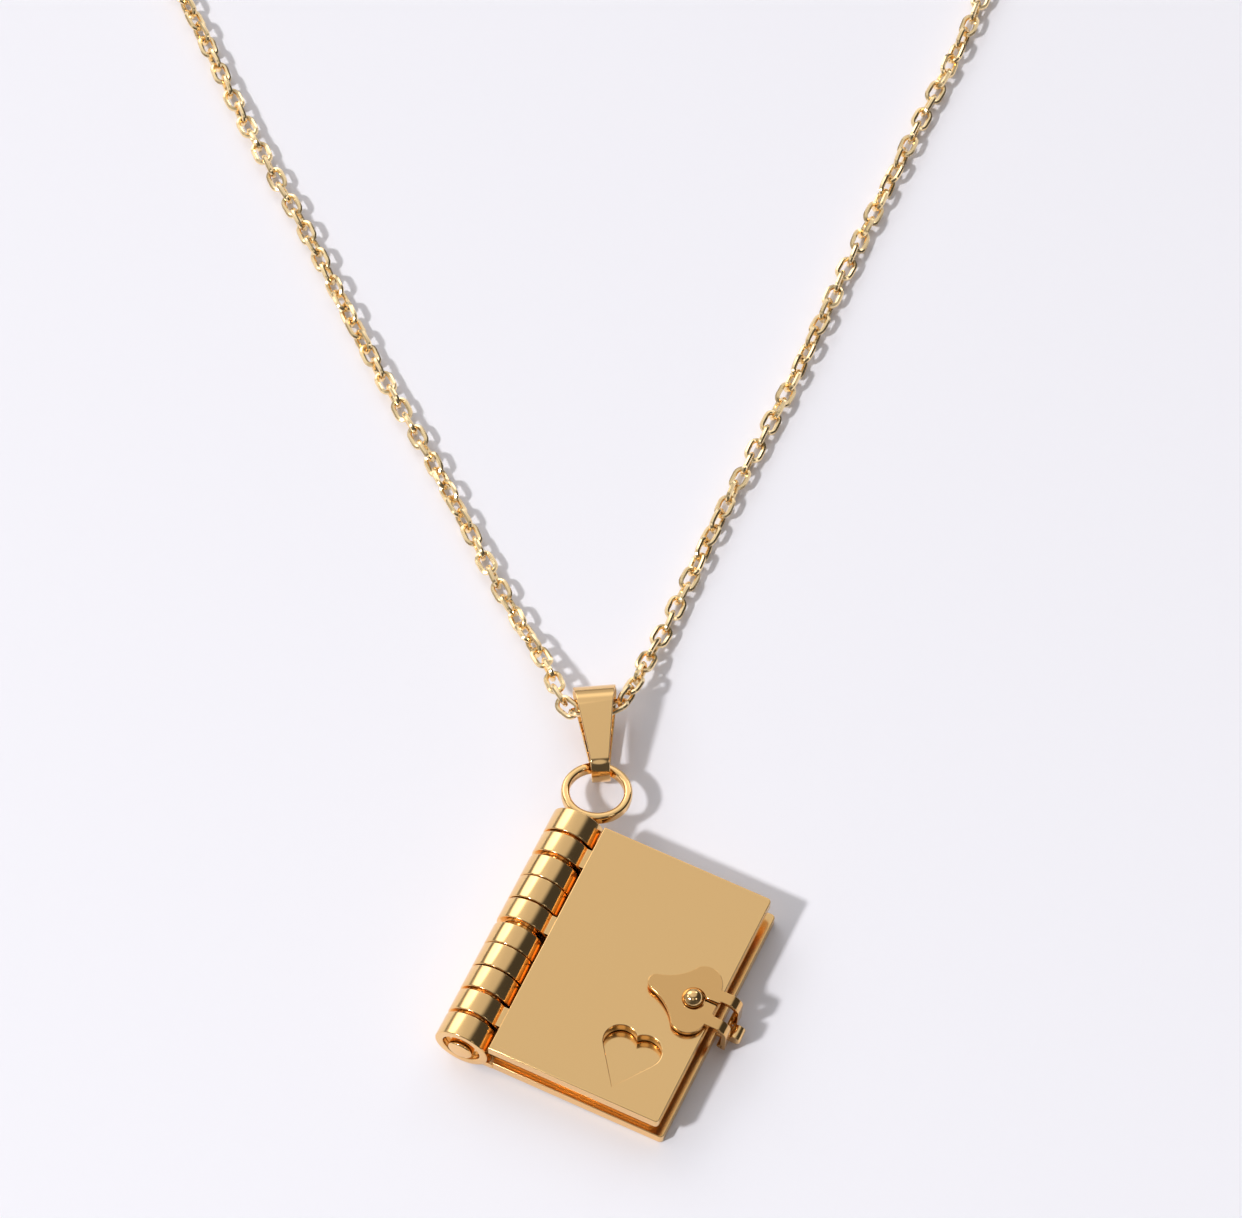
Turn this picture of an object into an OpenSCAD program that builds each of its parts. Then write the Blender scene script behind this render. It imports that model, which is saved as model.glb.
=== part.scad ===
// A necklace with a small metal book for its pendant, lying on a flat surface.
// The book has two covers and two leaves that turn on one pin, and a spade shaped hasp.
// Z is up from the surface. Y runs from the pendant to the nape of the neck.

/* [Covers] */
// Width of the front cover, from the spine to the fore edge
cover_w = 17.15; // [16:0.05:18]
// Height of both covers, along the spine
cover_h = 25; // [24:0.2:25.4]
// Thickness of each cover
cover_t = 1.2; // [1:0.05:1.3]
// How far the back cover stands out past the front one at the fore edge
back_step = 0.55; // [0.2:0.05:0.7]
// Thickness of the closed book
book_t = 4.2; // [4.1:0.05:4.4]
// Corner radius of the covers at the fore edge
cover_r = 0.4; // [0.3:0.1:1]

/* [Leaves] */
// Thickness of each leaf
page_t = 0.55; // [0.4:0.05:0.6]
// How far the leaves stand back from the covers' edges
page_inset = 0.8; // [0.5:0.1:1.5]

/* [Spine] */
// Outer diameter of the knuckles
spine_d = 5.3; // [5.2:0.1:5.4]
// Length of the row of knuckles
spine_len = 25.5; // [25.3:0.1:26]
// How far the knuckles reach below the covers
spine_drop = 0.3; // [0.1:0.1:0.5]
// Diameter of the pin
pin_d = 3.6; // [3.2:0.1:3.8]
// Running clearance between the pin and the knuckles, on the radius
pin_gap = 0.05; // [0.03:0.01:0.08]
// Depth of the recess round the pin at the lower end of the spine
recess = 0.5; // [0.3:0.1:0.8]

/* [Heart] */
// Width of the heart cut through the front cover
heart_w = 5.6; // [5:0.1:6]
// Radius of the heart's two lobes
heart_r = 1.6; // [1.5:0.05:1.8]
// Height of the heart from its tip to the top of its lobes
heart_h = 6.05; // [5.6:0.05:6.5]
// Distance of the heart's middle from the front cover's inner edge
heart_x = 11.8; // [11:0.1:12]
// Distance of the heart's tip from the covers' lower edge
heart_y = 1.5; // [1:0.1:3]

/* [Clasp] */
// Thickness of the hasp
tab_t = 0.5; // [0.4:0.05:0.6]
// Gap between the hasp and the front cover
tab_gap = 0.2; // [0.15:0.05:0.3]
// How far the hasp's tip is lifted, in degrees about its bar
tab_lift = 1.5; // [0:0.5:2]
// Distance from the hasp's tip to the widest part of its lobes
tab_len = 4.8; // [4.4:0.1:5]
// Width across the lobes of the hasp
tab_w = 7.05; // [6.8:0.05:7.6]
// Radius of the hasp's lobes
lobe_r = 1.75; // [1.6:0.05:2]
// Width of the hasp's neck, across both legs
neck_w = 3.8; // [3.6:0.1:4]
// Width of the window between the legs
window_w = 1.6; // [1.5:0.02:1.8]
// Width of the slit from the stud's hole to the window
slit_w = 0.32; // [0.2:0.02:0.4]
// How far the slit lies from the middle of the hasp
slit_off = 0.4; // [0:0.1:0.6]
// Diameter of the ball on the stud
ball_d = 2.05; // [1.6:0.05:2.1]
// Diameter of the hasp's cross bar
bar_d = 0.5; // [0.4:0.02:0.6]
// Width of the back cover's tongue
tongue_w = 1.4; // [1.2:0.05:1.45]

/* [Ring and bail] */
// Outer diameter of the hanging ring
ring_d = 6.7; // [6.5:0.1:7]
// Wall of the hanging ring
ring_wall = 0.8; // [0.6:0.05:0.8]
// Width of the ring's band
ring_band = 1.1; // [0.8:0.05:1.2]
// How far the ring's far end dips towards the surface, in degrees
ring_pitch = 10; // [8:1:11]
// Thickness of the bail's strip
bail_t = 0.35; // [0.3:0.05:0.4]
// Width of the bail at its top fold
bail_top_w = 4.2; // [4:0.1:4.4]
// Width of the bail at the ring
bail_low_w = 1.8; // [1.6:0.05:1.9]

/* [Chain] */
// Outer diameter of the chain, round its links
chain_d = 1.9; // [1.8:0.1:2]
// Length of the clasp at the nape, between the chain's ends
neck_clasp_len = 10.9; // [10.6:0.1:11]

/* [Pose] */
// Turn of the pendant on the surface, in degrees
pendant_turn = -25.2; // [-26:0.1:-24]
// Tilt of the closed book, resting on its spine and fore edge, in degrees
book_tilt = 1.5; // [1.4:0.05:1.6]

/* [Hidden] */
$fn = 64;

// Book frame: the spine's axis is Y, X runs to the fore edge, Z is the book's normal
spine_r = spine_d / 2;
pin_r = pin_d / 2;
foot = [-10.1, -105.2];

// The leaves of the book as heights of their undersides above the spine's axis
leaf_gap = (book_t - 2 * cover_t - 2 * page_t) / 3;
front_z = book_t / 2 - cover_t;
page_1_z = front_z - leaf_gap - page_t;
page_2_z = page_1_z - leaf_gap - page_t;
back_z = -book_t / 2;
plate_x = spine_r;
page_gap = 0.15;
page_x = plate_x + page_gap;
web_x = pin_r + 0.3;
web_t = 0.8;
web_lap = 0.4;

// Knuckles from the lower end: whose they are, and the gap above each
KNUCKLES = [
    ["back", 0.35], ["front", 0.30], ["back", 0.12], ["page_2", 0.06], ["page_1", 0.60],
    ["front", 0.14], ["page_2", 0.06], ["page_1", 0.45], ["front", 0.25], ["back", 0],
];
knuckle_pitch = spine_len / len(KNUCKLES);
function knuckle_low(i) = -spine_drop + i * knuckle_pitch + (i == 0 ? 0 : KNUCKLES[i - 1][1] / 2);
function knuckle_high(i) = -spine_drop + (i + 1) * knuckle_pitch - KNUCKLES[i][1] / 2;

// Hasp, measured from the spine's axis. Its legs run from leg_x down to the bar at bar_x, bar_z.
tab_y = 12.4;
tab_z = book_t / 2 + tab_gap;
lobe_x = plate_x + 15.1;
bar_x = plate_x + 18.5;
bar_z = -0.7;
leg_x = bar_x + 0.35;
leg_w = (neck_w - window_w) / 2;
bend_r = 1.2;
window_x = plate_x + 17.1;
stud_x = plate_x + 14.9;
ball_z = tab_z + 0.4;
ball_gap = 0.06;
seat_gap = 0.02;
shank_r = 0.6;
shank_gap = 0.03;
tongue_t = 0.42;
tongue_gap = 0.07;
bead_r = 0.62;
bead = [0.95, -0.12];

// Hasp outline: its tip, and the hollow flanks between the tip and the lobes
tip_r = 0.8;
tip_side = [0.3 - tab_len, 0.62];
lobe_side = [-0.9, tab_w / 2 - 0.25];
flank_r = 4.9;
flank = [-5.35, 5.55];

// The stud's hole runs this far toward the tip, above and below, for the hasp to swing off
snap_reach = 0.4;
under_reach = 0.6;

// Ring: its middle in the book frame, its roll in degrees and the rounding of its edges
solder = 0.3;
ring_at = [0.15, spine_len - spine_drop + ring_d / 2 + 0.05, 0.4];
ring_roll = 4;
ring_edge = 0.3;

// Bail, measured from the middle of its top fold: its turns in degrees, its two folds as
// y, z and radius, and the y at which it stops narrowing
bail_at = [2.15, -70.9, 3.38];
bail_turn = 4;
bail_roll = 1.5;
bail_high = [0, 0, 2.38];
bail_low = [-5.02, -0.72, 1.93];
bail_neck = -4.9;

// Chain route, from the clasp down the left side, through the bail, and up the right side.
// Each row is x, y and the height of the middle of the chain.
lie = chain_d / 2 + 0.02;
ROUTE = [
    [-5.6, 112, lie], [-16, 110.3, lie], [-30, 104, lie], [-41, 95, lie], [-49, 84, lie],
    [-53.5, 72, lie], [-54.3, 60, lie], [-52.5, 48, lie], [-49.2, 36, lie], [-45, 24, lie],
    [-41, 14.5, lie], [-38, 8, lie], [-32.5, -4.5, lie], [-26.5, -16.5, lie],
    [-20, -30.5, lie], [-13.5, -43, lie], [-7, -56.6, 1], [-4.6, -61.3, 1.2], [-3.1, -64.2, 1.75],
    [-2, -66.75, 2.4], [-1.35, -68.85, 2.8], [-0.2, -70.6, 3], [2.2, -70.9, 3.1],
    [4.3, -70.2, 3.3], [5.4, -68.5, 3], [6.2, -66.6, 2.4], [6.9, -64.8, 1.8],
    [8.3, -61.8, 1.2], [9.8, -58.4, 1], [14.5, -47.5, lie], [20.5, -35, lie],
    [26.5, -21, lie], [32.5, -7.5, lie], [38, 4.5, lie], [40.5, 10.5, lie],
    [45, 22, lie], [49.5, 36, lie], [52.5, 48, lie], [54.3, 60, lie], [53.5, 72, lie],
    [49, 84, lie], [41, 95, lie], [30, 104, lie], [16, 110.3, lie], [5.6, 112, lie],
];
tube_sides = 8;

// Puts the book, modelled round its spine, where it lies
module lay_book() {
    translate([foot[0], foot[1], spine_r])
        rotate([0, 0, pendant_turn])
            rotate([0, book_tilt, 0])
                children();
}

// A cylinder along Y, from y0 to y1
module rod(r, y0, y1) {
    translate([0, y0, 0])
        rotate([-90, 0, 0])
            cylinder(r = r, h = y1 - y0);
}

// A plate with square corners at the spine and round ones at the fore edge
module leaf_plate(x0, x1, y0, y1, r) {
    translate([x0, y0])
        square([x1 - x0 - r, y1 - y0]);
    translate([x0, y0 + r])
        square([x1 - x0, y1 - y0 - 2 * r]);
    for (y = [y0 + r, y1 - r])
        translate([x1 - r, y])
            circle(r = r);
}

// The heart, with its tip at the origin
module heart() {
    lobe = heart_w / 2 - heart_r;
    rise = heart_h - heart_r;
    reach = norm([lobe, rise]);
    a = atan2(-rise, lobe) - acos(heart_r / reach);
    side = [-lobe + heart_r * cos(a), rise + heart_r * sin(a)];
    for (s = [-1, 1])
        translate([s * lobe, rise])
            circle(r = heart_r);
    polygon([
        [0, 0], [-side[0], side[1]], [lobe, rise],
        [0, rise + sqrt(heart_r * heart_r - lobe * lobe)], [-lobe, rise], side,
    ]);
}

// The knuckles of one leaf, with the webs that carry its plate
module knuckles(owner, z, t, x_end) {
    for (i = [0 : len(KNUCKLES) - 1])
        if (KNUCKLES[i][0] == owner) {
            rod(spine_r, knuckle_low(i), knuckle_high(i));
            translate([web_x, knuckle_low(i), z])
                cube([x_end - web_x, knuckle_high(i) - knuckle_low(i), t]);
        }
}

// The bore through a leaf's knuckles
module spine_bore() {
    rod(pin_r + pin_gap, -1, spine_len + 1);
}

module front_cover() {
    color([0.83, 0.67, 0.44]) lay_book() difference() {
        union() {
            translate([0, 0, front_z]) linear_extrude(cover_t)
                leaf_plate(plate_x, plate_x + cover_w, 0, cover_h, cover_r);
            knuckles("front", front_z, web_t, plate_x + web_lap);
        }
        spine_bore();
        translate([plate_x + heart_x, heart_y, front_z - 1]) linear_extrude(cover_t + 2)
            heart();
        translate([stud_x, tab_y, front_z - 1])
            cylinder(r = shank_r + shank_gap, h = cover_t + 2);
    }
}

module back_cover() {
    color([0.83, 0.67, 0.44]) lay_book() difference() {
        union() {
            translate([0, 0, back_z]) linear_extrude(cover_t)
                leaf_plate(plate_x, plate_x + cover_w + back_step, 0, cover_h, cover_r);
            knuckles("back", back_z + cover_t - web_t, web_t, plate_x + web_lap);
            tongue();
        }
        spine_bore();
    }
}

// The tongue at the fore edge, turned up into a beaded hook that the hasp's bar lies in
module tongue() {
    bend = bar_d / 2 + tongue_gap;
    translate([0, tab_y + tongue_w / 2, 0]) rotate([90, 0, 0]) linear_extrude(tongue_w) {
        translate([plate_x + cover_w, bar_z - bend - tongue_t])
            square([bar_x - plate_x - cover_w, tongue_t]);
        translate([bar_x, bar_z]) {
            intersection() {
                difference() {
                    circle(r = bend + tongue_t);
                    circle(r = bend);
                }
                translate([0, -bend - tongue_t])
                    square(bend + tongue_t);
            }
            translate(bead)
                circle(r = bead_r);
        }
    }
}

module page_1() {
    color([0.79, 0.6, 0.36]) lay_book() page("page_1", page_1_z);
}

module page_2() {
    color([0.79, 0.6, 0.36]) lay_book() page("page_2", page_2_z);
}

// One leaf between the covers
module page(owner, z) {
    difference() {
        union() {
            translate([0, 0, z]) linear_extrude(page_t)
                leaf_plate(page_x, plate_x + cover_w - page_inset, page_inset,
                           cover_h - page_inset, cover_r);
            knuckles(owner, z, page_t, page_x + web_lap);
        }
        spine_bore();
    }
}

// The pin, with the hanging ring soldered to its upper end
module hinge_pin() {
    nub_r = 1.2;
    nub_out = 0.3;
    color([0.86, 0.7, 0.42]) lay_book() {
        rod(pin_r, -spine_drop + recess, spine_len - spine_drop + solder);
        rod(nub_r, -spine_drop - nub_out, -spine_drop + recess + 0.1);
        translate(ring_at) rotate([-ring_pitch, 0, 0]) rotate([0, -ring_roll, 0])
            rotate_extrude()
                ring_section();
    }
}

// The ring's wall, with rounded edges
module ring_section() {
    wide = ring_wall - 2 * ring_edge;
    high = ring_band - 2 * ring_edge;
    translate([(ring_d - ring_wall) / 2, 0]) {
        square([wide, ring_band], center = true);
        square([ring_wall, high], center = true);
        for (x = [-wide / 2, wide / 2])
            for (z = [-high / 2, high / 2])
                translate([x, z])
                    circle(r = ring_edge);
    }
}

module ball_stud() {
    color([0.9, 0.76, 0.5]) lay_book() translate([stud_x, tab_y, 0]) {
        translate([0, 0, front_z + seat_gap])
            cylinder(r = shank_r, h = ball_z - front_z);
        translate([0, 0, ball_z]) difference() {
            sphere(d = ball_d);
            translate([0, 0, book_t / 2 + seat_gap - ball_z - ball_d])
                cylinder(d = 2 * ball_d, h = ball_d);
        }
    }
}

// Outline of the hasp's flat part, seen from above, with its lobes' middle at the origin
module tab_outline() {
    lobe_y = tab_w / 2 - lobe_r;
    difference() {
        union() {
            for (s = [-1, 1])
                translate([0, s * lobe_y])
                    circle(r = lobe_r);
            translate([-tab_len + tip_r, 0])
                circle(r = tip_r);
            polygon([
                tip_side, lobe_side, [0, lobe_y],
                [0, -lobe_y], [lobe_side[0], -lobe_side[1]], [tip_side[0], -tip_side[1]],
            ]);
            translate([0, -neck_w / 2])
                square([leg_x - lobe_x - bend_r + tab_t / 2, neck_w]);
        }
        for (s = [-1, 1])
            translate([flank[0], s * flank[1]])
                circle(r = flank_r);
    }
}

// The hasp: flat part, two legs bent down at the fore edge, and the bar between their ends
module clasp_tab() {
    hole_r = ball_d / 2 + ball_gap;
    color([0.85, 0.69, 0.44]) lay_book() translate([bar_x, tab_y, bar_z])
        rotate([0, tab_lift, 0]) translate([-bar_x, 0, -bar_z]) {
            difference() {
                translate([lobe_x, 0, tab_z]) linear_extrude(tab_t)
                    tab_outline();
                // The window, the slit, and the stud's hole with its relieved underside
                translate([window_x, -window_w / 2, tab_z - 1])
                    cube([leg_x - window_x, window_w, tab_t + 2]);
                translate([stud_x, slit_off - slit_w / 2, tab_z - 1])
                    cube([window_x - stud_x + 0.1, slit_w, tab_t + 2]);
                for (x = [0, -snap_reach])
                    translate([stud_x + x, 0, tab_z - 1])
                        cylinder(r = hole_r, h = tab_t + 2);
                for (x = [0, -under_reach])
                    translate([stud_x + x, 0, tab_z - 1])
                        cylinder(r = hole_r, h = tab_t / 2 + 1);
            }
            for (side = [-neck_w / 2 + leg_w, neck_w / 2])
                translate([0, side, 0]) rotate([90, 0, 0]) linear_extrude(leg_w)
                    leg();
            translate([bar_x, 0, bar_z])
                rod(bar_d / 2, -neck_w / 2, neck_w / 2);
        }
}

// One leg of the hasp, seen from the side
module leg() {
    bend_x = leg_x - bend_r + tab_t / 2;
    bend_z = tab_z + tab_t - bend_r;
    translate([bend_x, bend_z]) intersection() {
        difference() {
            circle(r = bend_r);
            circle(r = bend_r - tab_t);
        }
        square(bend_r);
    }
    polygon([
        [leg_x - tab_t / 2, bend_z], [leg_x + tab_t / 2, bend_z],
        [leg_x + tab_t / 2, bar_z - bar_d / 2], [bar_x, bar_z - bar_d / 2],
        [bar_x - bar_d / 2, bar_z], [leg_x - tab_t / 2, bar_z + bar_d],
    ]);
}

// The bail seen on its edge: a loop that narrows from its top fold to the ring
module bail_loop(inset) {
    hull()
        for (c = [bail_high, bail_low])
            translate([c[0], c[1]])
                circle(r = c[2] - inset, $fn = 32);
}

// The bail: a strip folded into a loop for the chain, its narrow end through the ring
module bail() {
    y_top = bail_high[0] + bail_high[2];
    y_low = bail_low[0] - bail_low[2];
    color([0.8, 0.66, 0.4])
        translate(bail_at) rotate([0, -bail_roll, bail_turn]) intersection() {
            translate([-bail_top_w, 0, 0]) rotate([90, 0, 90])
                linear_extrude(2 * bail_top_w) difference() {
                    bail_loop(0);
                    bail_loop(bail_t);
                }
            translate([0, 0, -3]) linear_extrude(6)
                polygon([
                    [-bail_top_w / 2, y_top], [bail_top_w / 2, y_top],
                    [bail_low_w / 2, bail_neck], [bail_low_w / 2, y_low],
                    [-bail_low_w / 2, y_low], [-bail_low_w / 2, bail_neck],
                ]);
        }
}

// A smooth curve through the route, with one ring between each two far points
function between(a, b, c, d, t) =
    0.5 * (2 * b + (c - a) * t + (2 * a - 5 * b + 4 * c - d) * t * t
           + (3 * b - a - 3 * c + d) * t * t * t);
function at(i) = ROUTE[max(0, min(len(ROUTE) - 1, i))];
function steps(i) = norm(at(i + 1) - at(i)) > 6 ? 2 : 1;
RINGS = concat(
    [for (i = [0 : len(ROUTE) - 2]) for (k = [0 : steps(i) - 1])
        between(at(i - 1), at(i), at(i + 1), at(i + 2), k / steps(i))],
    [ROUTE[len(ROUTE) - 1]]
);
function along(i) =
    let (d = RINGS[min(len(RINGS) - 1, i + 1)] - RINGS[max(0, i - 1)]) d / norm(d);

// The chain as one tube round its links
module chain() {
    n = len(RINGS);
    points = [for (i = [0 : n - 1]) for (k = [0 : tube_sides - 1])
        let (
            d = along(i),
            across = cross(d, [0, 0, 1]) / norm(cross(d, [0, 0, 1])),
            up = cross(across, d),
            a = (k + 0.5) * 360 / tube_sides,
            r = chain_d / 2 / cos(180 / tube_sides)
        ) RINGS[i] + r * (cos(a) * across + sin(a) * up)];
    sides = [for (i = [0 : n - 2]) for (k = [0 : tube_sides - 1])
        let (m = (k + 1) % tube_sides)
        [i * tube_sides + k, i * tube_sides + m, (i + 1) * tube_sides + m, (i + 1) * tube_sides + k]];
    ends = [
        [for (k = [tube_sides - 1 : -1 : 0]) k],
        [for (k = [0 : tube_sides - 1]) (n - 1) * tube_sides + k],
    ];
    color([0.82, 0.66, 0.4])
        polyhedron(points = points, faces = concat(sides, ends), convexity = 10);
}

// The clasp at the nape: a plain bar with an eye at each end
module neck_clasp() {
    wire_r = 0.36;
    eye_r = 1.05;
    bar_w = 3.44;
    bar_len = neck_clasp_len - 4 * eye_r - 2 * wire_r;
    color([0.82, 0.66, 0.4]) translate([0, ROUTE[0][1], 0]) {
        linear_extrude(chain_d) {
            square([bar_len - bar_w, bar_w], center = true);
            for (s = [-1, 1])
                translate([s * (bar_len - bar_w) / 2, 0])
                    circle(d = bar_w);
        }
        for (s = [-1, 1])
            translate([s * (bar_len / 2 + eye_r), 0, lie]) rotate_extrude()
                translate([eye_r, 0])
                    circle(r = wire_r, $fn = 24);
    }
}

front_cover();
back_cover();
page_1();
page_2();
hinge_pin();
ball_stud();
clasp_tab();
bail();
chain();
neck_clasp();
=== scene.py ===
import math
import random

import bmesh
import bpy
from mathutils import Matrix, Vector
from mathutils.geometry import tessellate_polygon


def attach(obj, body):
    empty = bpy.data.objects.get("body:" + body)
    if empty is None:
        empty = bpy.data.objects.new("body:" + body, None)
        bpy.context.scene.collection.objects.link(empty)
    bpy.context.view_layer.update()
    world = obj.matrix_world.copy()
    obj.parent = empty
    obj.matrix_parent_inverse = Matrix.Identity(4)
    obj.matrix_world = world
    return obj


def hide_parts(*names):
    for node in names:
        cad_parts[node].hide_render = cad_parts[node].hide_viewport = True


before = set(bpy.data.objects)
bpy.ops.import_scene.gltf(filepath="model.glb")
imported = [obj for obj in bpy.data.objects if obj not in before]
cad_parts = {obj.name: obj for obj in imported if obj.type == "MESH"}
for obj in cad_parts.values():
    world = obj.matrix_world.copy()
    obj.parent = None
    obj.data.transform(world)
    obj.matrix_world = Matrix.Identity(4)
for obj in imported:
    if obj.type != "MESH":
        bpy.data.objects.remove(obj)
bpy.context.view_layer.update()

# The object's lengths are millimetres, and every mesh is made in metres
MM = 0.001

# Camera, with its focal length in pixels of the image
IMAGE_WIDTH = 1242
LENS_PIXELS = 7000
SENSOR = 36.0
CAMERA_AT = Vector((4.5, -374.2, 588.4))
LOOK_AT = Vector((4.5, -58.2, 0.0))
NEAR = 10
FAR = 10000

# Covers
COVER_W = 17.15
COVER_H = 25.0
COVER_T = 1.2
BACK_STEP = 0.55
BOOK_T = 4.2
COVER_R = 0.4
COVER_EDGE = 0.1

# Leaves
PAGE_T = 0.55
PAGE_INSET = 0.8
PAGE_GAP = 0.15
PAGE_EDGE = 0.06
LEAF_GAP = (BOOK_T - 2 * COVER_T - 2 * PAGE_T) / 3
FRONT_Z = BOOK_T / 2 - COVER_T
PAGE_1_Z = FRONT_Z - LEAF_GAP - PAGE_T
PAGE_2_Z = PAGE_1_Z - LEAF_GAP - PAGE_T
BACK_Z = -BOOK_T / 2

# Spine. Its axis is the book's Y, and the covers start at PLATE_X
SPINE_R = 2.65
SPINE_LEN = 25.5
SPINE_LOW = -0.3
SPINE_TOP = SPINE_LEN + SPINE_LOW
PLATE_X = SPINE_R
PIN_R = 1.8
PIN_EDGE = 0.1
BORE_R = 1.85
RECESS = 0.5
SOLDER = 0.3
NUB_R = 1.2
NUB_OUT = 0.3
NUB_IN = 0.1
NUB_EDGE = 0.15

# Knuckles from the bottom up: the leaf that owns each, and the gap above it
KNUCKLES = (
    ("back", 0.35),
    ("front", 0.30),
    ("back", 0.12),
    ("page_2", 0.06),
    ("page_1", 0.60),
    ("front", 0.14),
    ("page_2", 0.06),
    ("page_1", 0.45),
    ("front", 0.25),
    ("back", 0.0),
)
KNUCKLE_PITCH = SPINE_LEN / len(KNUCKLES)
KNUCKLE_EDGE = 0.12

# Webs, which join the knuckles to their plates
WEB_T = 0.8
WEB_START_X = PIN_R + 0.3
WEB_END_X = PLATE_X + 0.5
WEB_INSET = 0.1
WEB_EDGE = 0.05

# Heart, with the place of its tip on the cover
HEART_W = 5.6
HEART_R = 1.6
HEART_H = 6.05
HEART_X = 11.8
HEART_Y = 1.5

# Hasp. Its tip and lobes lie over the cover, and its legs end at the cross bar. The window is the
# opening between the legs, and the slit leads from it to the ball's hole
TAB_T = 0.5
TAB_GAP = 0.2
TAB_LIFT = math.radians(1.5)
TAB_LEN = 4.8
TAB_W = 7.05
TAB_EDGE = 0.06
TAB_Y = 12.4
TAB_Z = BOOK_T / 2 + TAB_GAP
LOBE_R = 1.75
LOBE_X = PLATE_X + 15.1
TIP_R = 0.8
# The hollow flank beside the tip, with its centre as seen from the lobes' middle
FLANK = (-5.35, 5.55)
FLANK_R = 4.9
NECK_W = 3.8
WINDOW_W = 1.6
WINDOW_X = PLATE_X + 17.1
WINDOW_CHAMFER = 0.2
SLIT_W = 0.32
SLIT_OFF = 0.4
BAR_R = 0.25
BAR_X = PLATE_X + 18.5
BAR_Z = -0.7
BAR_EDGE = 0.1
LEG_X = BAR_X + 0.35
FOOT_X = BAR_X + 0.1
BEND_R = 1.2
BEND_MIDDLE_R = BEND_R - TAB_T / 2
BEND_X = LEG_X - BEND_R + TAB_T / 2
BEND_STEPS = 12

# Stud. The ball's outline starts at the shank, BALL_START degrees up from its middle
BALL_R = 1.025
BALL_Z = TAB_Z + 0.4
BALL_START = -60
HOLE_R = BALL_R + 0.06
STUD_X = PLATE_X + 14.9
SHANK_R = 0.6
SHANK_GAP = 0.03
SHANK_LOW = FRONT_Z + 0.02
SHANK_TOP = BOOK_T / 2 + 0.05

# Tongue, with its bead's centre as seen from the cross bar, and the angle at which the bead ends
TONGUE_W = 1.4
TONGUE_T = 0.42
TONGUE_GAP = 0.07
TONGUE_EDGE = 0.06
BEAD = (0.95, -0.12)
BEAD_R = 0.62
BEAD_END = 195

# Ring, with its centre as seen from the foot of the spine
RING_R = 3.35
RING_WALL = 0.8
RING_BAND = 1.1
RING_EDGE = 0.3
RING_PITCH = math.radians(10)
RING_ROLL = math.radians(4)
RING_AT = (0.15, SPINE_TOP + RING_R + 0.05, 0.4)

# Bail. Each fold has its y, its z and its radius, and the strip narrows down to BAIL_NECK
BAIL_T = 0.35
BAIL_EDGE = 0.1
BAIL_TOP_W = 4.2
BAIL_LOW_W = 1.8
BAIL_AT = (2.15, -70.9, 3.38)
BAIL_TURN = math.radians(4)
BAIL_ROLL = math.radians(1.5)
BAIL_HIGH = (0.0, 0.0, 2.38)
BAIL_LOW = (-5.02, -0.72, 1.93)
BAIL_NECK = -4.9

# Chain. Its links lie on a twisting line, and chance turns each of them by a few degrees
CHAIN_R = 0.95
LIE = CHAIN_R + 0.02
LINK_LEN = 2.75
LINK_W = 1.86
WIRE_R = 0.25
WIRE_SIDES = 8
CHAIN_SEED = 4
ROLL_SPREAD = 8
SWAY_SPREAD = 4

# Clasp at the nape
CLASP_LEN = 10.9
CLASP_W = 3.44
CLASP_EDGE = 0.25
EYE_R = 1.05
EYE_WIRE_R = 0.36

# Link number, and how far along the route it lies
PACE = ((0, 0), (78, 133.6), (127, 217.4), (134, 228.5), (184, 314.5), (260, 444.9))

# Link number, and the chain's twist there in degrees
TWIST = (
    (0, 0), (74, 585), (98.5, 675), (112.5, 765), (121.5, 855), (130.5, 945),
    (143.5, 1035), (156.5, 1125), (169.5, 1215), (178.5, 1305), (190, 1395), (260, 1980),
)

# The chain's route from one end of the clasp round to the other: x, y and height
ROUTE = (
    (-5.6, 112, LIE), (-16, 110.3, LIE), (-30, 104, LIE), (-41, 95, LIE), (-49, 84, LIE),
    (-53.5, 72, LIE), (-54.3, 60, LIE), (-52.5, 48, LIE), (-49.2, 36, LIE), (-45, 24, LIE),
    (-41, 14.5, LIE), (-38, 8, LIE), (-32.5, -4.5, LIE), (-26.5, -16.5, LIE),
    (-20, -30.5, LIE), (-13.5, -43, LIE), (-7, -56.6, 1), (-4.6, -61.3, 1.2), (-3.1, -64.2, 1.75),
    (-2, -66.75, 2.4), (-1.35, -68.85, 2.8), (-0.2, -70.6, 3), (2.2, -70.9, 3.1),
    (4.3, -70.2, 3.3), (5.4, -68.5, 3), (6.2, -66.6, 2.4), (6.9, -64.8, 1.8),
    (8.3, -61.8, 1.2), (9.8, -58.4, 1), (14.5, -47.5, LIE), (20.5, -35, LIE),
    (26.5, -21, LIE), (32.5, -7.5, LIE), (38, 4.5, LIE), (40.5, 10.5, LIE),
    (45, 22, LIE), (49.5, 36, LIE), (52.5, 48, LIE), (54.3, 60, LIE), (53.5, 72, LIE),
    (49, 84, LIE), (41, 95, LIE), (30, 104, LIE), (16, 110.3, LIE), (5.6, 112, LIE),
)

# Where the book lies: the foot of its spine, how it is turned, and how it leans on its fore edge
SPINE_AT = (-10.1, -105.2, SPINE_R)
BOOK_TURN = math.radians(-25.2)
BOOK_LEAN = math.radians(1.5)
BOOK = (
    Matrix.Translation(SPINE_AT)
    @ Matrix.Rotation(BOOK_TURN, 4, "Z")
    @ Matrix.Rotation(BOOK_LEAN, 4, "Y")
)

# Gold's colour where the light meets it straight on. The hasp's copy is darker, as painted shade, and
# the chain's copy is paler and less orange, as painted light that lightens its links
GOLD = (0.91, 0.595, 0.265)
SHADED_GOLD = (0.82, 0.5, 0.2)
LIT_GOLD = (1.0, 0.77, 0.44)

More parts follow.
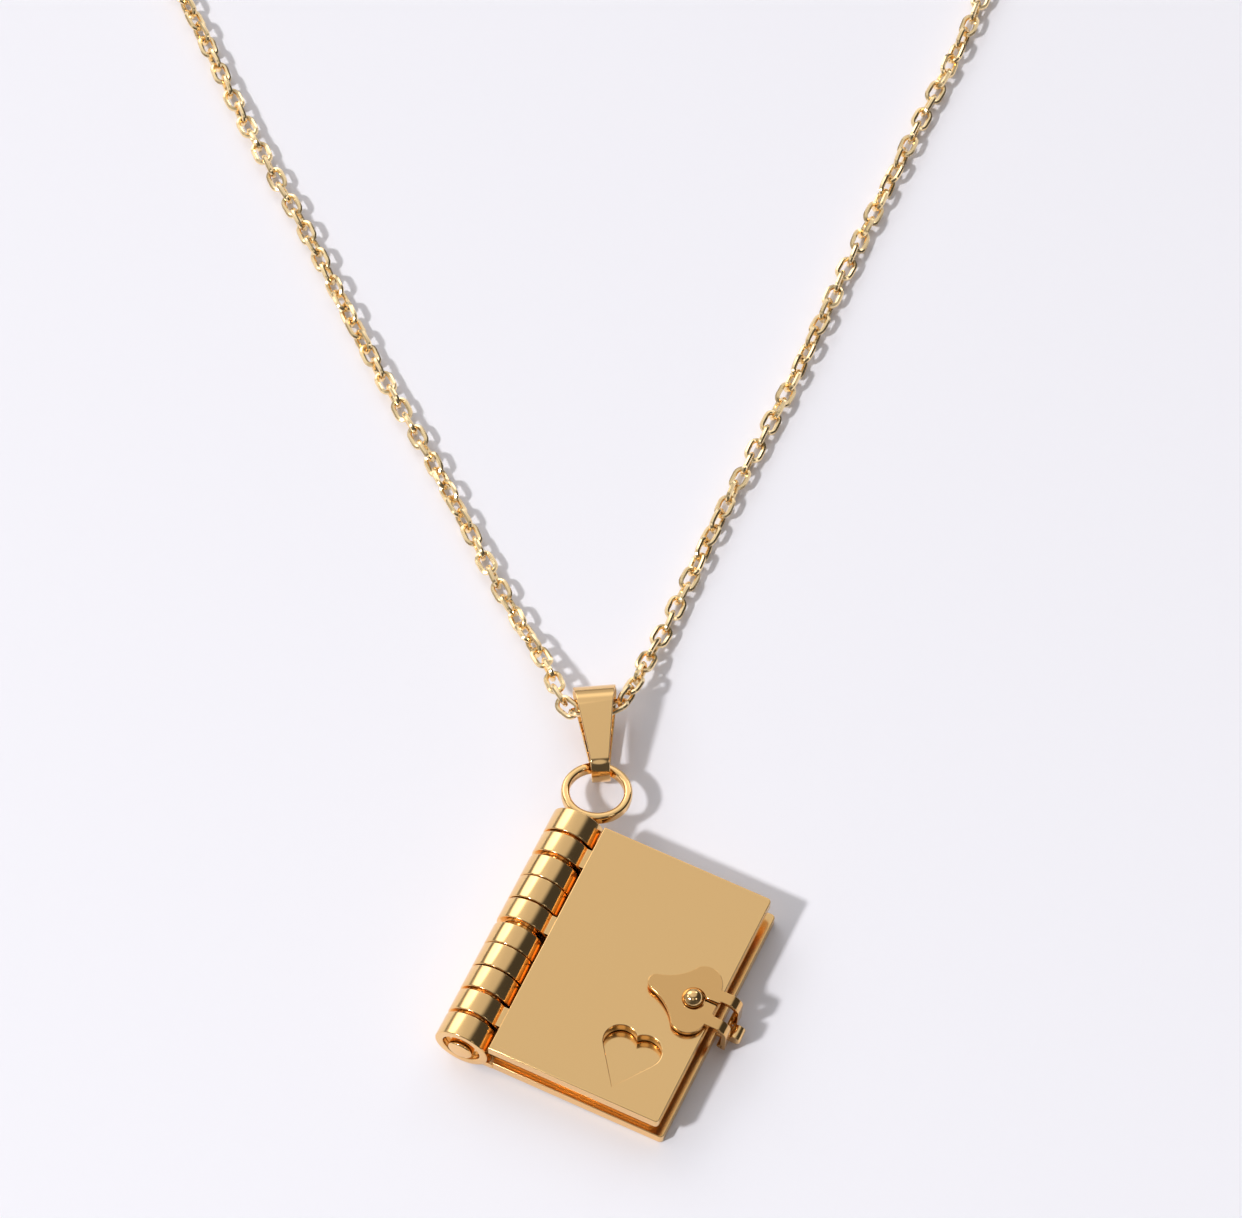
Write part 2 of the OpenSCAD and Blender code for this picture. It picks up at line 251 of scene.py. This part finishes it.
# Clouds tint the gold unevenly, and the finer grain roughens it
CLOUD_SCALE = 90
CLOUD_DETAIL = 3
CLOUD_TINT = (1.02, 0.98, 0.94)
GRAIN_SCALE = 900
GRAIN_DETAIL = 2
GRAIN_DEPTH = 0.0001

# Floor, in metres
FLOOR_COLOR = (0.9, 0.885, 0.94, 1)
FLOOR_ROUGHNESS = 0.5
FLOOR_SHEEN = 0.25
FLOOR_SIZE = 4
FLOOR_Z = -0.00002

# Studio round the object. Each part has its direction, its strength, and the cosines of the
# angles from that direction at which it starts and is full
STUDIO_BASE = 0.13
STUDIO = (
    ((0.04, 0.45, 0.89), 0.59, 0.74, 0.92),
    ((-0.49, 0.70, 0.52), 2.0, 0.92, 0.985),
    ((0.80, 0.10, 0.60), -0.07, 0.45, 1.0),
    ((-0.85, 0.10, 0.50), 0.24, 0.40, 1.0),
    ((0.00, -0.90, 0.43), -0.04, 0.80, 0.93),
    ((0.00, -0.47, 0.88), 0.55, 0.965, 0.99),
    ((0.00, 0.90, 0.44), 0.50, 0.86, 1.0),
    ((-0.78, 0.20, 0.60), 2.2, 0.985, 0.997),
    ((0.45, 0.75, 0.48), 2.2, 0.985, 0.997),
    ((0.55, -0.35, 0.75), 2.2, 0.988, 0.997),
)

# Key light, in metres and watts
KEY_FROM = Vector((-0.60, -0.337, 0.727))
KEY_DISTANCE = 2.0
KEY_SIZE = 0.18
KEY_POWER = 25


# Shells: a shell is a list of points and a list of faces

def flat(points):
    """An outline's points as vectors."""
    return [Vector(p) for p in points]


def moved(shell, place):
    """The shell put in its place."""
    points, faces = shell
    return [place @ Vector(p) for p in points], faces


def standing(x=0, y=0, z=0):
    """Place for a shell that was drawn lying down: its own y becomes its height."""
    return Matrix.Translation((x, y, z)) @ Matrix.Rotation(math.pi / 2, 4, "X")


def arc(x, y, r, start, end, steps=5):
    """Points on an arc, with its angles in degrees."""
    turns = [math.radians(start + (end - start) * k / steps) for k in range(steps + 1)]
    return [(x + r * math.cos(t), y + r * math.sin(t)) for t in turns]


def crossing(r, to, other):
    """Angles at which two circles cross, seen from the first one's centre."""
    far = math.hypot(*to)
    half = math.acos((r * r + far * far - other * other) / (2 * r * far))
    middle = math.atan2(to[1], to[0])
    return math.degrees(middle - half), math.degrees(middle + half)


def inset(outline, depth, sharpest=0.4):
    """The outline moved into its material, on its left, and held back at corners that are too sharp."""
    shifted = []
    for i, p in enumerate(outline):
        before = (p - outline[i - 1]).normalized()
        after = (outline[(i + 1) % len(outline)] - p).normalized()
        across = Vector((-before.y - after.y, before.x + after.x))
        shifted.append(p + across * depth / max(sharpest, 1 + before.dot(after)))
    return shifted


def slab(outlines, low, high, edge, steps=4):
    """A plate with rounded edges. The outer outline runs anticlockwise and holes run clockwise."""
    layers = []
    for k in range(steps + 1):
        turn = math.pi / 2 * k / steps
        layers.append((edge * (1 - math.sin(turn)), low + edge * (1 - math.cos(turn))))
    # A narrow flat rim round each face keeps its shading flat
    layers.insert(0, (edge * 1.5, low))
    layers += [(depth, low + high - z) for depth, z in reversed(layers)]
    points = []
    faces = []
    caps = ([], [])
    for outline in outlines:
        count = len(outline)
        start = len(points)
        for depth, z in layers:
            points += [(p.x, p.y, z) for p in inset(outline, depth)]
        for j in range(len(layers) - 1):
            for i in range(count):
                a = start + j * count + i
                b = start + j * count + (i + 1) % count
                faces.append((a, b, b + count, a + count))
        caps[0].append(range(start, start + count))
        caps[1].append(range(len(points) - count, len(points)))
    for cap in caps:
        order = [i for loop in cap for i in loop]
        loops = [[Vector(points[i]) for i in loop] for loop in cap]
        faces += [tuple(order[i] for i in face) for face in tessellate_polygon(loops)]
    return points, faces


def tube_faces(rows, count, closed=True):
    """Faces that join each row of points to the next one, and the last row to the first."""
    faces = []
    for k in range(rows):
        a = k * count
        b = (k + 1) % rows * count
        for i in range(count if closed else count - 1):
            j = (i + 1) % count
            faces.append((a + i, a + j, b + j, b + i))
    return faces


def turned(profile, sides=96, closed=True):
    """The profile, as radius and height, turned round Y."""
    points = []
    for k in range(sides):
        turn = 2 * math.pi * k / sides
        points += [(r * math.cos(turn), y, r * math.sin(turn)) for r, y in profile]
    return points, tube_faces(sides, len(profile), closed)


def band(inner, outer, low, high, edge):
    """Profile of a ring with rounded outer and inner edges."""
    return (
        arc(outer - edge, low + edge, edge, -90, 0)
        + arc(outer - edge, high - edge, edge, 0, 90)
        + arc(inner + edge, high - edge, edge, 90, 180)
        + arc(inner + edge, low + edge, edge, 180, 270)
    )


def rod(radius, low, high, edge):
    """Profile of a solid rod with rounded ends."""
    return (
        [(0, low)]
        + arc(radius - edge, low + edge, edge, -90, 0)
        + arc(radius - edge, high - edge, edge, 0, 90)
        + [(0, high)]
    )


def fill(bm, points, faces):
    """Puts a shell into the mesh that is being built."""
    verts = [bm.verts.new(p) for p in points]
    for face in faces:
        bm.faces.new([verts[i] for i in face])


def make(name, shells, place, material, body, nodes, crease=40):
    """One piece from its shells, which stands for the given nodes and rides on the body."""
    bm = bmesh.new()
    for points, faces in shells:
        fill(bm, [place @ Vector(p) * MM for p in points], faces)
    bmesh.ops.remove_doubles(bm, verts=bm.verts, dist=0.0005 * MM)
    bmesh.ops.recalc_face_normals(bm, faces=bm.faces)
    mesh = bpy.data.meshes.new(name)
    bm.to_mesh(mesh)
    bm.free()
    mesh.shade_smooth()
    mesh.set_sharp_from_angle(angle=math.radians(crease))
    mesh.materials.append(material)
    piece = bpy.data.objects.new(name, mesh)
    bpy.context.scene.collection.objects.link(piece)
    weighted = piece.modifiers.new("Even shading", "WEIGHTED_NORMAL")
    weighted.keep_sharp = True
    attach(piece, body)
    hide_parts(*nodes)


# Materials

def gold(name, color, roughness, grain=0.0):
    """Gold plate, faintly uneven in its colour and, with some grain, in its polish."""
    material = bpy.data.materials.new(name)
    material.use_nodes = True
    nodes = material.node_tree.nodes
    links = material.node_tree.links
    shader = nodes["Principled BSDF"]
    shader.inputs["Metallic"].default_value = 1.0
    shader.inputs["Roughness"].default_value = roughness
    place = nodes.new("ShaderNodeTexCoord")

    def noise(scale, detail):
        """Noise that stays with the piece."""
        node = nodes.new("ShaderNodeTexNoise")
        node.inputs["Scale"].default_value = scale
        node.inputs["Detail"].default_value = detail
        links.new(place.outputs["Object"], node.inputs["Vector"])
        return node.outputs["Fac"]

    tint = nodes.new("ShaderNodeMix")
    tint.data_type = "RGBA"
    tint.inputs["A"].default_value = (*color, 1)
    tint.inputs["B"].default_value = (*(c * share for c, share in zip(color, CLOUD_TINT)), 1)
    links.new(noise(CLOUD_SCALE, CLOUD_DETAIL), tint.inputs["Factor"])
    links.new(tint.outputs["Result"], shader.inputs["Base Color"])
    if grain:
        bump = nodes.new("ShaderNodeBump")
        bump.inputs["Strength"].default_value = grain
        bump.inputs["Distance"].default_value = GRAIN_DEPTH
        links.new(noise(GRAIN_SCALE, GRAIN_DETAIL), bump.inputs["Height"])
        links.new(bump.outputs["Normal"], shader.inputs["Normal"])
    return material


cover_gold = gold("cover_gold", GOLD, 0.17, 0.02)
leaf_gold = gold("leaf_gold", GOLD, 0.12)
fitting_gold = gold("fitting_gold", GOLD, 0.1)
# The hasp's gold is darker than the covers' gold: painted shade
hasp_gold = gold("hasp_gold", SHADED_GOLD, 0.12)
# The chain's gold is paler than the covers' gold: painted light that lightens the links
chain_gold = gold("chain_gold", LIT_GOLD, 0.2)


# Book

def leaf_outline(x0, x1, y0, y1, r):
    """Square corners at the spine, round ones at the fore edge."""
    return flat(
        [(x0, y0)]
        + arc(x1 - r, y0 + r, r, -90, 0, 8)
        + arc(x1 - r, y1 - r, r, 0, 90, 8)
        + [(x0, y1)]
    )


def heart_outline(x, y):
    """The heart as a hole, with its tip at x, y."""
    lobe = HEART_W / 2 - HEART_R
    rise = HEART_H - HEART_R
    start = math.degrees(math.atan2(-rise, lobe) - math.acos(HEART_R / math.hypot(lobe, rise)))
    cleft = math.degrees(math.acos(lobe / HEART_R))
    left = arc(x - lobe, y + rise, HEART_R, start, cleft - 360, 28)
    right = [(2 * x - px, py) for px, py in reversed(left[:-1])]
    return flat([(x, y)] + left + right)


def circle(x, y, r, count=48):
    """A round hole."""
    return flat(arc(x, y, r, 0, -360, count)[:-1])


def knuckles(owner, z, t):
    """The knuckles of one leaf, with the webs that carry its plate."""
    shells = []
    for i, (whose, gap) in enumerate(KNUCKLES):
        if whose != owner:
            continue
        low = SPINE_LOW + i * KNUCKLE_PITCH + (KNUCKLES[i - 1][1] / 2 if i else 0)
        high = SPINE_LOW + (i + 1) * KNUCKLE_PITCH - gap / 2
        shells.append(turned(band(BORE_R, SPINE_R, low, high, KNUCKLE_EDGE)))
        web_low = low + WEB_INSET
        web_high = high - WEB_INSET
        web = flat([(WEB_START_X, web_low), (WEB_END_X, web_low),
                    (WEB_END_X, web_high), (WEB_START_X, web_high)])
        shells.append(slab([web], z, z + t, WEB_EDGE, 2))
    return shells


def front_cover():
    """The upper cover, with its heart and the hole for the stud's shank."""
    outline = leaf_outline(PLATE_X, PLATE_X + COVER_W, 0, COVER_H, COVER_R)
    holes = [heart_outline(PLATE_X + HEART_X, HEART_Y), circle(STUD_X, TAB_Y, SHANK_R + SHANK_GAP)]
    plate = slab([outline] + holes, FRONT_Z, FRONT_Z + COVER_T, COVER_EDGE)
    make("front_cover_plate", [plate] + knuckles("front", FRONT_Z, WEB_T), BOOK, cover_gold,
         "front", ["front_cover"])


def tongue():
    """The tongue at the fore edge, turned up into a beaded hook round the hasp's bar."""
    inner = BAR_R + TONGUE_GAP
    outer = inner + TONGUE_T
    leave = crossing(outer, BEAD, BEAD_R)[0]
    enter = crossing(BEAD_R, (-BEAD[0], -BEAD[1]), outer)[1] - 360
    bead = (BAR_X + BEAD[0], BAR_Z + BEAD[1])
    profile = (
        [(PLATE_X + COVER_W, BAR_Z - outer)]
        + arc(BAR_X, BAR_Z, outer, -90, leave, 8)
        + arc(*bead, BEAD_R, enter, BEAD_END, 28)[1:]
        + arc(BAR_X, BAR_Z, inner, 0, -90, 12)
        + [(PLATE_X + COVER_W, BAR_Z - inner)]
    )
    strip = slab([flat(profile)], 0, TONGUE_W, TONGUE_EDGE, 3)
    return moved(strip, standing(y=TAB_Y + TONGUE_W / 2))


def back_cover():
    """The lower cover, a step wider than the upper one, with its tongue."""
    outline = leaf_outline(PLATE_X, PLATE_X + COVER_W + BACK_STEP, 0, COVER_H, COVER_R)
    plate = slab([outline], BACK_Z, BACK_Z + COVER_T, COVER_EDGE)
    shells = [plate, tongue()] + knuckles("back", BACK_Z + COVER_T - WEB_T, WEB_T)
    make("back_cover_plate", shells, BOOK, cover_gold, "necklace", ["back_cover"])


def page(name, owner, z, body):
    """A plain leaf, set back from the covers."""
    outline = leaf_outline(PLATE_X + PAGE_GAP, PLATE_X + COVER_W - PAGE_INSET, PAGE_INSET,
                           COVER_H - PAGE_INSET, COVER_R)
    plate = slab([outline], z, z + PAGE_T, PAGE_EDGE, 3)
    make(name, [plate] + knuckles(owner, z, PAGE_T), BOOK, leaf_gold, body, [owner])


def hinge_pin():
    """The pin with the nub at its foot, and the ring soldered to its top."""
    pin = turned(rod(PIN_R, SPINE_LOW + RECESS, SPINE_TOP + SOLDER, PIN_EDGE), closed=False)
    nub = turned(rod(NUB_R, SPINE_LOW - NUB_OUT, SPINE_LOW + RECESS + NUB_IN, NUB_EDGE), closed=False)
    half = RING_BAND / 2
    ring = turned(band(RING_R - RING_WALL, RING_R, -half, half, RING_EDGE), 128)
    hung = (
        Matrix.Translation(RING_AT)
        @ Matrix.Rotation(-RING_PITCH, 4, "X")
        @ Matrix.Rotation(-RING_ROLL, 4, "Y")
        @ standing()
    )
    make("pin_and_ring", [pin, nub, moved(ring, hung)], BOOK, fitting_gold,
         "necklace", ["hinge_pin"])


def ball_stud():
    """The stud's shank in the cover, and its ball in the hasp's hole."""
    shank = [(0, SHANK_LOW), (SHANK_R, SHANK_LOW), (SHANK_R, SHANK_TOP)]
    ball = arc(0, BALL_Z, BALL_R, BALL_START, 90, 24)
    stud = moved(turned(shank + ball, 64, closed=False), standing(STUD_X, TAB_Y))
    make("ball_stud_head", [stud], BOOK, fitting_gold, "front", ["ball_stud"])


# Hasp

def tab_outline():
    """The hasp laid flat, with both legs straight out. Its lobes' middle is at LOBE_X."""
    lobe_y = TAB_W / 2 - LOBE_R
    drop = TAB_Z + TAB_T - BEND_R - BAR_Z + BAR_R
    leg_end = BEND_X + math.pi / 2 * BEND_MIDDLE_R + drop
    tip = TIP_R - TAB_LEN
    touch = math.degrees(math.atan2(-FLANK[1], tip - FLANK[0]))
    lobe = (-FLANK[0], lobe_y - FLANK[1])
    leave = crossing(FLANK_R, lobe, LOBE_R)[1]
    enter = crossing(LOBE_R, (-lobe[0], -lobe[1]), FLANK_R)[0]
    down = math.degrees(math.asin((NECK_W / 2 - lobe_y) / LOBE_R))
    upper = (
        arc(tip, 0, TIP_R, 180, 180 + touch, 6)
        + arc(*FLANK, FLANK_R, touch, leave, 20)[1:]
        + arc(0, lobe_y, LOBE_R, enter, down, 26)[1:]
    )
    half = WINDOW_W / 2
    leg = [(leg_end, NECK_W / 2), (leg_end, half), (WINDOW_X + WINDOW_CHAMFER, half),
           (WINDOW_X, half - WINDOW_CHAMFER)]
    top = [(LOBE_X + x, y) for x, y in upper] + leg
    slit = (SLIT_OFF + SLIT_W / 2, SLIT_OFF - SLIT_W / 2)
    turns = [math.degrees(math.asin(y / HOLE_R)) for y in slit]
    hole = arc(STUD_X, 0, HOLE_R, turns[0], turns[1] + 360, 40)
    low = [(x, -y) for x, y in reversed(top[1:])]
    outline = top + [(WINDOW_X, slit[0])] + hole + [(WINDOW_X, slit[1])] + low
    return flat((x, TAB_Y + y) for x, y in reversed(outline))


def bent_tab():
    """The hasp's sheet, cut into strips across and bent down at the fore edge."""
    middle = TAB_Z + TAB_T / 2
    length = math.pi / 2 * BEND_MIDDLE_R
    bm = bmesh.new()
    fill(bm, *slab([tab_outline()], TAB_Z, TAB_Z + TAB_T, TAB_EDGE))
    for k in range(BEND_STEPS + 1):
        everything = bm.verts[:] + bm.edges[:] + bm.faces[:]
        bmesh.ops.bisect_plane(bm, geom=everything, plane_no=(1, 0, 0),
                               plane_co=(BEND_X + length * k / BEND_STEPS, 0, 0))
    for v in bm.verts:
        run = v.co.x - BEND_X
        lift = v.co.z - middle
        if run > length:
            v.co.x = BEND_X + BEND_MIDDLE_R + lift
            v.co.z = middle - BEND_MIDDLE_R - (run - length)
        elif run > 0:
            turn = run / BEND_MIDDLE_R
            v.co.x = BEND_X + (BEND_MIDDLE_R + lift) * math.sin(turn)
            v.co.z = middle - BEND_MIDDLE_R + (BEND_MIDDLE_R + lift) * math.cos(turn)
    bm.verts.index_update()
    sheet = ([v.co.copy() for v in bm.verts], [[v.index for v in f.verts] for f in bm.faces])
    bm.free()
    return sheet


def clasp_tab():
    """The hasp: its bent sheet, the cross bar, and a foot on each leg that holds the bar."""
    bar = moved(turned(rod(BAR_R, -NECK_W / 2, NECK_W / 2, BAR_EDGE), 48, closed=False),
                Matrix.Translation((BAR_X, TAB_Y, BAR_Z)))
    low = BAR_Z - BAR_R
    high = BAR_Z + 2 * BAR_R
    side = flat([(BAR_X, low), (LEG_X, low), (LEG_X, high), (FOOT_X, high), (BAR_X - BAR_R, BAR_Z)])
    foot = slab([side], 0, (NECK_W - WINDOW_W) / 2, TAB_EDGE, 3)
    feet = [moved(foot, standing(y=TAB_Y + y)) for y in (NECK_W / 2, -WINDOW_W / 2)]
    pivot = Matrix.Translation((BAR_X, 0, BAR_Z))
    lifted = BOOK @ pivot @ Matrix.Rotation(TAB_LIFT, 4, "Y") @ pivot.inverted()
    make("hasp", [bent_tab(), bar] + feet, lifted, hasp_gold, "hasp", ["clasp_tab"],
         30)


# Bail

def bail():
    """A strip folded into a loop that narrows from its top fold to the ring."""
    rows = 96
    corners = ((1, 1, 0), (-1, 1, 90), (-1, -1, 180), (1, -1, 270))
    y_top = BAIL_HIGH[0] + BAIL_HIGH[2]
    deep = BAIL_T / 2 - BAIL_EDGE
    points = []
    for k in range(rows):
        turn = 2 * math.pi * k / rows
        out = Vector((math.cos(turn), math.sin(turn)))
        # Each row lies on the fold that reaches further out in its direction
        y, z, r = max((BAIL_HIGH, BAIL_LOW), key=lambda f: f[0] * out.x + f[1] * out.y + f[2])
        centre = Vector((y, z)) + out * (r - BAIL_T / 2)
        share = min(1, (y_top - centre.x) / (y_top - BAIL_NECK))
        wide = (BAIL_TOP_W * (1 - share) + BAIL_LOW_W * share) / 2 - BAIL_EDGE
        for side, face, start in corners:
            for across, rise in arc(side * wide, face * deep, BAIL_EDGE, start, start + 90, 3):
                at = centre + out * rise
                points.append((across, at.x, at.y))
    place = (
        Matrix.Translation(BAIL_AT)
        @ Matrix.Rotation(BAIL_TURN, 4, "Z")
        @ Matrix.Rotation(-BAIL_ROLL, 4, "Y")
    )
    strip = (points, tube_faces(rows, len(points) // rows))
    make("folded_bail", [strip], place, fitting_gold, "necklace", ["bail"])


# Chain

def smooth_route(fineness=12):
    """The route as a smooth curve through its points."""
    last = len(ROUTE) - 1
    fine = []
    for i in range(last):
        a, b, c, d = (Vector(ROUTE[max(0, min(last, i + k))]) for k in (-1, 0, 1, 2))
        for k in range(fineness):
            t = k / fineness
            fine.append(0.5 * (2 * b + (c - a) * t + (2 * a - 5 * b + 4 * c - d) * t ** 2
                               + (3 * b - a - 3 * c + d) * t ** 3))
    return fine + [Vector(ROUTE[last])]


def at_link(rows, n):
    """The value at link n, between rows of link number and value."""
    for (a, low), (b, high) in zip(rows, rows[1:]):
        if n <= b:
            return low + (high - low) * (n - a) / (b - a)


def link_places(line):
    """Where each link lies on the line, with the direction there."""
    lengths = [0.0]
    for a, b in zip(line, line[1:]):
        lengths.append(lengths[-1] + (b - a).length)
    places = []
    k = 0
    for n in range(PACE[-1][0] + 1):
        want = at_link(PACE, n)
        while k < len(line) - 2 and lengths[k + 1] < want:
            k += 1
        share = (want - lengths[k]) / (lengths[k + 1] - lengths[k])
        places.append((line[k].lerp(line[k + 1], share), (line[k + 1] - line[k]).normalized()))
    print("Chain:", round(lengths[-1], 1), "mm,", len(places), "links")
    return places


def link():
    """One oval link along X, lying flat."""
    middle_r = LINK_W / 2 - WIRE_R
    run = LINK_LEN / 2 - WIRE_R - middle_r
    path = arc(run, 0, middle_r, -90, 90, 9) + arc(-run, 0, middle_r, 90, 270, 9)
    points = []
    for i, (x, y) in enumerate(path):
        centre_x = run if i < len(path) // 2 else -run
        out = Vector((x - centre_x, y, 0)).normalized()
        for k in range(WIRE_SIDES):
            turn = 2 * math.pi * k / WIRE_SIDES
            round_wire = math.cos(turn) * out + math.sin(turn) * Vector((0, 0, 1))
            points.append(Vector((x, y, 0)) + WIRE_R * round_wire)
    return points, tube_faces(len(path), WIRE_SIDES)


def chain():
    """All the links, each a quarter turn from the last, on the twisting route."""
    chance = random.Random(CHAIN_SEED)
    shape = link()
    shells = []
    for n, (at, along) in enumerate(link_places(smooth_route())):
        quarter = 90 if n % 2 == 0 else 0
        roll = quarter + at_link(TWIST, n) + chance.uniform(-ROLL_SPREAD, ROLL_SPREAD)
        sway = chance.uniform(-SWAY_SPREAD, SWAY_SPREAD)
        side = Vector((0, 0, 1)).cross(along).normalized()
        place = (
            Matrix.Translation(at)
            @ Matrix((along, side, along.cross(side))).transposed().to_4x4()
            @ Matrix.Rotation(math.radians(sway), 4, "Z")
            @ Matrix.Rotation(math.radians(roll), 4, "X")
        )
        shells.append(moved(shape, place))
    make("chain_links", shells, Matrix.Identity(4), chain_gold, "necklace", ["chain"])


def neck_clasp():
    """The clasp at the nape: a plain rounded plate with an eye at each end."""
    half = (CLASP_LEN - 4 * EYE_R - 2 * EYE_WIRE_R - CLASP_W) / 2
    outline = flat(arc(half, 0, CLASP_W / 2, -90, 90, 16) + arc(-half, 0, CLASP_W / 2, 90, 270, 16))
    shells = [slab([outline], 0, 2 * CHAIN_R, CLASP_EDGE)]
    eye = turned(arc(EYE_R, 0, EYE_WIRE_R, 0, 360, 16)[:-1], 40)
    for side in (-1, 1):
        shells.append(moved(eye, standing(side * (half + CLASP_W / 2 + EYE_R), 0, LIE)))
    make("nape_clasp", shells, Matrix.Translation((0, ROUTE[0][1], 0)), chain_gold,
         "necklace", ["neck_clasp"])


# Camera, floor and light

def camera():
    """The camera fitted to the photograph."""
    data = bpy.data.cameras.new("camera")
    data.sensor_width = SENSOR
    data.sensor_fit = "HORIZONTAL"
    data.lens = LENS_PIXELS / IMAGE_WIDTH * SENSOR
    data.clip_start = NEAR * MM
    data.clip_end = FAR * MM
    eye = bpy.data.objects.new("camera", data)
    eye.location = CAMERA_AT * MM
    eye.rotation_euler = (LOOK_AT - CAMERA_AT).to_track_quat("-Z", "Y").to_euler()
    bpy.context.scene.collection.objects.link(eye)
    bpy.context.scene.camera = eye


def floor():
    """The pale surface, just below what lies on it."""
    bpy.ops.mesh.primitive_plane_add(size=FLOOR_SIZE, location=(0, 0, FLOOR_Z))
    plane = bpy.context.object
    plane.name = "floor"
    material = bpy.data.materials.new("pale_board")
    material.use_nodes = True
    shader = material.node_tree.nodes["Principled BSDF"]
    shader.inputs["Base Color"].default_value = FLOOR_COLOR
    shader.inputs["Roughness"].default_value = FLOOR_ROUGHNESS
    shader.inputs["Specular IOR Level"].default_value = FLOOR_SHEEN
    plane.data.materials.append(material)


def studio():
    """The world: its strength in each direction is the base and every part's share."""
    world = bpy.data.worlds.new("studio")
    world.use_nodes = True
    nodes = world.node_tree.nodes
    links = world.node_tree.links
    shade = nodes["Background"]
    shade.inputs["Color"].default_value = (1, 1, 1, 1)
    where = nodes.new("ShaderNodeTexCoord")
    total = None
    for direction, strength, start, full in STUDIO:
        cosine = nodes.new("ShaderNodeVectorMath")
        cosine.operation = "DOT_PRODUCT"
        cosine.inputs[1].default_value = Vector(direction).normalized()
        links.new(where.outputs["Generated"], cosine.inputs[0])
        spread = nodes.new("ShaderNodeMapRange")
        spread.interpolation_type = "SMOOTHSTEP"
        spread.inputs["From Min"].default_value = start
        spread.inputs["From Max"].default_value = full
        spread.inputs["To Max"].default_value = strength
        links.new(cosine.outputs["Value"], spread.inputs["Value"])
        add = nodes.new("ShaderNodeMath")
        add.operation = "ADD"
        links.new(spread.outputs["Result"], add.inputs[0])
        if total:
            links.new(total.outputs[0], add.inputs[1])
        else:
            add.inputs[1].default_value = STUDIO_BASE
        total = add
    links.new(total.outputs[0], shade.inputs["Strength"])
    bpy.context.scene.world = world
    bpy.context.scene.view_settings.view_transform = "Standard"


def key_light():
    """The lamp that casts the shadows."""
    data = bpy.data.lights.new("key", "AREA")
    data.shape = "DISK"
    data.size = KEY_SIZE
    data.energy = KEY_POWER
    key = bpy.data.objects.new("key", data)
    key.location = LOOK_AT * MM + KEY_FROM.normalized() * KEY_DISTANCE
    key.rotation_euler = (-KEY_FROM).to_track_quat("-Z", "Y").to_euler()
    bpy.context.scene.collection.objects.link(key)


camera()
floor()
studio()
key_light()
front_cover()
back_cover()
page("page_1_leaf", "page_1", PAGE_1_Z, "leaf_1")
page("page_2_leaf", "page_2", PAGE_2_Z, "leaf_2")
hinge_pin()
ball_stud()
clasp_tab()
bail()
chain()
neck_clasp()
